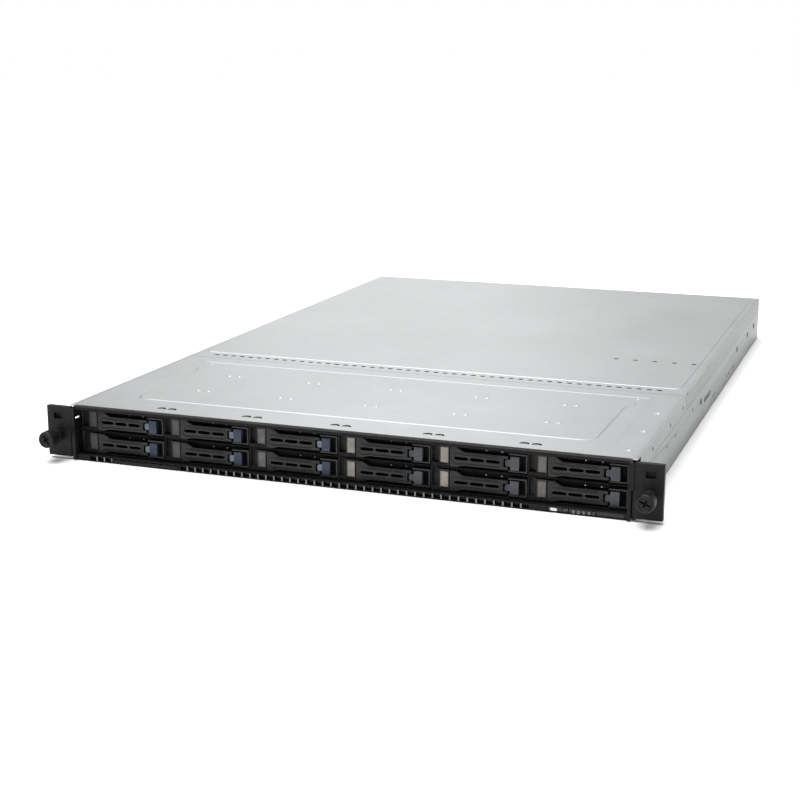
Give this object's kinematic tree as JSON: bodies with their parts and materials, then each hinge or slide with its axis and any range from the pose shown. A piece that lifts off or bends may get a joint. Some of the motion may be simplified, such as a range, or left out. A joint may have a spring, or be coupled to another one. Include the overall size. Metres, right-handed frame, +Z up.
{
  "type": "1u rack server",
  "caption": "Flat one-unit rack server: steel case with two top covers, two rows of drive carriers with levers, rack ears with thumbscrews, rear power supplies and ports.",
  "frame": {"origin": "on the underside, under the middle of the whole server's box", "axes": "+X to the right seen from the front, +Y to the back, +Z up"},
  "size_m": [0.4826, 0.7232, 0.0441],
  "materials": {
    "galvanised_steel": "satin, fine spangle",
    "dark_steel": "satin black",
    "ear_paint": "satin charcoal",
    "bezel_plastic": "fine texture",
    "carrier_plastic": "satin charcoal",
    "latch_blue": "satin slate blue",
    "latch_grey": "satin blue grey",
    "black_plastic": "matt",
    "circuit_board": "satin",
    "aluminium_fins": "bare",
    "screw_steel": "zinc, teal tint",
    "knob_metal": "satin grey",
    "tag_plastic": "matt",
    "button_plastic": "satin",
    "release_plastic": "satin"
  },
  "bodies": {
    "chassis": {"chassis_base": "galvanised_steel", "front_top_cover": "galvanised_steel", "front_bezel": "bezel_plastic", "drive_cage": "dark_steel", "drive_backplane": "circuit_board", "right_rack_ear": "ear_paint", "left_rack_ear": "ear_paint", "control_panel": "bezel_plastic", "cooling_fans": "black_plastic", "mainboard": "circuit_board", "heat_sinks": "aluminium_fins", "air_duct": "black_plastic", "rear_panel": "galvanised_steel", "chassis_screws": "screw_steel"},
    "carrier_upper_1": {"carrier_upper_1": "carrier_plastic"},
    "lever_upper_1": {"lever_upper_1": "carrier_plastic"},
    "latch_upper_1": {"latch_upper_1": "latch_blue"},
    "carrier_upper_2": {"carrier_upper_2": "carrier_plastic"},
    "lever_upper_2": {"lever_upper_2": "carrier_plastic"},
    "latch_upper_2": {"latch_upper_2": "latch_blue"},
    "carrier_upper_3": {"carrier_upper_3": "carrier_plastic"},
    "lever_upper_3": {"lever_upper_3": "carrier_plastic"},
    "latch_upper_3": {"latch_upper_3": "latch_blue"},
    "carrier_upper_4": {"carrier_upper_4": "carrier_plastic"},
    "lever_upper_4": {"lever_upper_4": "carrier_plastic"},
    "latch_upper_4": {"latch_upper_4": "latch_grey"},
    "carrier_upper_5": {"carrier_upper_5": "carrier_plastic"},
    "lever_upper_5": {"lever_upper_5": "carrier_plastic"},
    "latch_upper_5": {"latch_upper_5": "latch_grey"},
    "carrier_upper_6": {"carrier_upper_6": "carrier_plastic"},
    "lever_upper_6": {"lever_upper_6": "carrier_plastic"},
    "latch_upper_6": {"latch_upper_6": "latch_grey"},
    "carrier_lower_1": {"carrier_lower_1": "carrier_plastic"},
    "lever_lower_1": {"lever_lower_1": "carrier_plastic"},
    "latch_lower_1": {"latch_lower_1": "latch_blue"},
    "carrier_lower_2": {"carrier_lower_2": "carrier_plastic"},
    "lever_lower_2": {"lever_lower_2": "carrier_plastic"},
    "latch_lower_2": {"latch_lower_2": "latch_blue"},
    "carrier_lower_3": {"carrier_lower_3": "carrier_plastic"},
    "lever_lower_3": {"lever_lower_3": "carrier_plastic"},
    "latch_lower_3": {"latch_lower_3": "latch_blue"},
    "carrier_lower_4": {"carrier_lower_4": "carrier_plastic"},
    "lever_lower_4": {"lever_lower_4": "carrier_plastic"},
    "latch_lower_4": {"latch_lower_4": "latch_grey"},
    "carrier_lower_5": {"carrier_lower_5": "carrier_plastic"},
    "lever_lower_5": {"lever_lower_5": "carrier_plastic"},
    "latch_lower_5": {"latch_lower_5": "latch_grey"},
    "carrier_lower_6": {"carrier_lower_6": "carrier_plastic"},
    "lever_lower_6": {"lever_lower_6": "carrier_plastic"},
    "latch_lower_6": {"latch_lower_6": "latch_grey"},
    "rear_top_cover": {"rear_top_cover": "galvanised_steel"},
    "info_tag": {"info_tag": "tag_plastic"},
    "power_button": {"power_button": "button_plastic"},
    "locator_button": {"locator_button": "button_plastic"},
    "right_thumbscrew": {"right_thumbscrew": "knob_metal"},
    "left_thumbscrew": {"left_thumbscrew": "knob_metal"},
    "power_supply_left": {"power_supply_left": "galvanised_steel"},
    "power_supply_latch_left": {"power_supply_latch_left": "release_plastic"},
    "power_supply_right": {"power_supply_right": "galvanised_steel"},
    "power_supply_latch_right": {"power_supply_latch_right": "release_plastic"}
  },
  "joints": [
    {"name": "carrier_upper_1_slide", "type": "slide", "parent": "chassis", "child": "carrier_upper_1", "axis": [0, -1, 0], "range_m": [0, 0.1]},
    {"name": "lever_upper_1_swing", "type": "hinge", "parent": "carrier_upper_1", "child": "lever_upper_1", "pos_m": [-0.2002, -0.333, 0.0303], "axis": [0, 0, -1], "range_deg": [0, 70]},
    {"name": "latch_upper_1_slide", "type": "slide", "parent": "carrier_upper_1", "child": "latch_upper_1", "axis": [1, 0, 0], "range_m": [0, 0.004], "stiffness_N_per_m": 200},
    {"name": "carrier_upper_2_slide", "type": "slide", "parent": "chassis", "child": "carrier_upper_2", "axis": [0, -1, 0], "range_m": [0, 0.1]},
    {"name": "lever_upper_2_swing", "type": "hinge", "parent": "carrier_upper_2", "child": "lever_upper_2", "pos_m": [-0.1282, -0.333, 0.0303], "axis": [0, 0, -1], "range_deg": [0, 70]},
    {"name": "latch_upper_2_slide", "type": "slide", "parent": "carrier_upper_2", "child": "latch_upper_2", "axis": [1, 0, 0], "range_m": [0, 0.004], "stiffness_N_per_m": 200},
    {"name": "carrier_upper_3_slide", "type": "slide", "parent": "chassis", "child": "carrier_upper_3", "axis": [0, -1, 0], "range_m": [0, 0.1]},
    {"name": "lever_upper_3_swing", "type": "hinge", "parent": "carrier_upper_3", "child": "lever_upper_3", "pos_m": [-0.0562, -0.333, 0.0303], "axis": [0, 0, -1], "range_deg": [0, 70]},
    {"name": "latch_upper_3_slide", "type": "slide", "parent": "carrier_upper_3", "child": "latch_upper_3", "axis": [1, 0, 0], "range_m": [0, 0.004], "stiffness_N_per_m": 200},
    {"name": "carrier_upper_4_slide", "type": "slide", "parent": "chassis", "child": "carrier_upper_4", "axis": [0, -1, 0], "range_m": [0, 0.1]},
    {"name": "lever_upper_4_swing", "type": "hinge", "parent": "carrier_upper_4", "child": "lever_upper_4", "pos_m": [0.0158, -0.333, 0.0303], "axis": [0, 0, -1], "range_deg": [0, 70]},
    {"name": "latch_upper_4_slide", "type": "slide", "parent": "carrier_upper_4", "child": "latch_upper_4", "axis": [1, 0, 0], "range_m": [0, 0.004], "stiffness_N_per_m": 200},
    {"name": "carrier_upper_5_slide", "type": "slide", "parent": "chassis", "child": "carrier_upper_5", "axis": [0, -1, 0], "range_m": [0, 0.1]},
    {"name": "lever_upper_5_swing", "type": "hinge", "parent": "carrier_upper_5", "child": "lever_upper_5", "pos_m": [0.0878, -0.333, 0.0303], "axis": [0, 0, -1], "range_deg": [0, 70]},
    {"name": "latch_upper_5_slide", "type": "slide", "parent": "carrier_upper_5", "child": "latch_upper_5", "axis": [1, 0, 0], "range_m": [0, 0.004], "stiffness_N_per_m": 200},
    {"name": "carrier_upper_6_slide", "type": "slide", "parent": "chassis", "child": "carrier_upper_6", "axis": [0, -1, 0], "range_m": [0, 0.1]},
    {"name": "lever_upper_6_swing", "type": "hinge", "parent": "carrier_upper_6", "child": "lever_upper_6", "pos_m": [0.1598, -0.333, 0.0303], "axis": [0, 0, -1], "range_deg": [0, 70]},
    {"name": "latch_upper_6_slide", "type": "slide", "parent": "carrier_upper_6", "child": "latch_upper_6", "axis": [1, 0, 0], "range_m": [0, 0.004], "stiffness_N_per_m": 200},
    {"name": "carrier_lower_1_slide", "type": "slide", "parent": "chassis", "child": "carrier_lower_1", "axis": [0, -1, 0], "range_m": [0, 0.1]},
    {"name": "lever_lower_1_swing", "type": "hinge", "parent": "carrier_lower_1", "child": "lever_lower_1", "pos_m": [-0.2002, -0.333, 0.0123], "axis": [0, 0, -1], "range_deg": [0, 70]},
    {"name": "latch_lower_1_slide", "type": "slide", "parent": "carrier_lower_1", "child": "latch_lower_1", "axis": [1, 0, 0], "range_m": [0, 0.004], "stiffness_N_per_m": 200},
    {"name": "carrier_lower_2_slide", "type": "slide", "parent": "chassis", "child": "carrier_lower_2", "axis": [0, -1, 0], "range_m": [0, 0.1]},
    {"name": "lever_lower_2_swing", "type": "hinge", "parent": "carrier_lower_2", "child": "lever_lower_2", "pos_m": [-0.1282, -0.333, 0.0123], "axis": [0, 0, -1], "range_deg": [0, 70]},
    {"name": "latch_lower_2_slide", "type": "slide", "parent": "carrier_lower_2", "child": "latch_lower_2", "axis": [1, 0, 0], "range_m": [0, 0.004], "stiffness_N_per_m": 200},
    {"name": "carrier_lower_3_slide", "type": "slide", "parent": "chassis", "child": "carrier_lower_3", "axis": [0, -1, 0], "range_m": [0, 0.1]},
    {"name": "lever_lower_3_swing", "type": "hinge", "parent": "carrier_lower_3", "child": "lever_lower_3", "pos_m": [-0.0562, -0.333, 0.0123], "axis": [0, 0, -1], "range_deg": [0, 70]},
    {"name": "latch_lower_3_slide", "type": "slide", "parent": "carrier_lower_3", "child": "latch_lower_3", "axis": [1, 0, 0], "range_m": [0, 0.004], "stiffness_N_per_m": 200},
    {"name": "carrier_lower_4_slide", "type": "slide", "parent": "chassis", "child": "carrier_lower_4", "axis": [0, -1, 0], "range_m": [0, 0.1]},
    {"name": "lever_lower_4_swing", "type": "hinge", "parent": "carrier_lower_4", "child": "lever_lower_4", "pos_m": [0.0158, -0.333, 0.0123], "axis": [0, 0, -1], "range_deg": [0, 70]},
    {"name": "latch_lower_4_slide", "type": "slide", "parent": "carrier_lower_4", "child": "latch_lower_4", "axis": [1, 0, 0], "range_m": [0, 0.004], "stiffness_N_per_m": 200},
    {"name": "carrier_lower_5_slide", "type": "slide", "parent": "chassis", "child": "carrier_lower_5", "axis": [0, -1, 0], "range_m": [0, 0.1]},
    {"name": "lever_lower_5_swing", "type": "hinge", "parent": "carrier_lower_5", "child": "lever_lower_5", "pos_m": [0.0878, -0.333, 0.0123], "axis": [0, 0, -1], "range_deg": [0, 70]},
    {"name": "latch_lower_5_slide", "type": "slide", "parent": "carrier_lower_5", "child": "latch_lower_5", "axis": [1, 0, 0], "range_m": [0, 0.004], "stiffness_N_per_m": 200},
    {"name": "carrier_lower_6_slide", "type": "slide", "parent": "chassis", "child": "carrier_lower_6", "axis": [0, -1, 0], "range_m": [0, 0.1]},
    {"name": "lever_lower_6_swing", "type": "hinge", "parent": "carrier_lower_6", "child": "lever_lower_6", "pos_m": [0.1598, -0.333, 0.0123], "axis": [0, 0, -1], "range_deg": [0, 70]},
    {"name": "latch_lower_6_slide", "type": "slide", "parent": "carrier_lower_6", "child": "latch_lower_6", "axis": [1, 0, 0], "range_m": [0, 0.004], "stiffness_N_per_m": 200},
    {"name": "rear_cover_slide", "type": "slide", "parent": "chassis", "child": "rear_top_cover", "axis": [0, 1, 0], "range_m": [0, 0.3]},
    {"name": "info_tag_slide", "type": "slide", "parent": "chassis", "child": "info_tag", "axis": [0, -1, 0], "range_m": [0, 0.06]},
    {"name": "power_button_press", "type": "slide", "parent": "chassis", "child": "power_button", "axis": [0, 1, 0], "range_m": [0, 0.0008], "stiffness_N_per_m": 300},
    {"name": "locator_button_press", "type": "slide", "parent": "chassis", "child": "locator_button", "axis": [0, 1, 0], "range_m": [0, 0.0008], "stiffness_N_per_m": 300},
    {"name": "right_thumbscrew_turn", "type": "hinge", "parent": "chassis", "child": "right_thumbscrew", "pos_m": [0.232, -0.3432, 0.0188], "axis": [0, -1, 0], "continuous": true},
    {"name": "left_thumbscrew_turn", "type": "hinge", "parent": "chassis", "child": "left_thumbscrew", "pos_m": [-0.232, -0.3432, 0.0188], "axis": [0, -1, 0], "continuous": true},
    {"name": "power_supply_left_slide", "type": "slide", "parent": "chassis", "child": "power_supply_left", "axis": [0, 1, 0], "range_m": [0, 0.16]},
    {"name": "power_supply_latch_left_slide", "type": "slide", "parent": "power_supply_left", "child": "power_supply_latch_left", "axis": [-1, 0, 0], "range_m": [0, 0.003], "stiffness_N_per_m": 200},
    {"name": "power_supply_right_slide", "type": "slide", "parent": "chassis", "child": "power_supply_right", "axis": [0, 1, 0], "range_m": [0, 0.16]},
    {"name": "power_supply_latch_right_slide", "type": "slide", "parent": "power_supply_right", "child": "power_supply_latch_right", "axis": [-1, 0, 0], "range_m": [0, 0.003], "stiffness_N_per_m": 200}
  ]
}
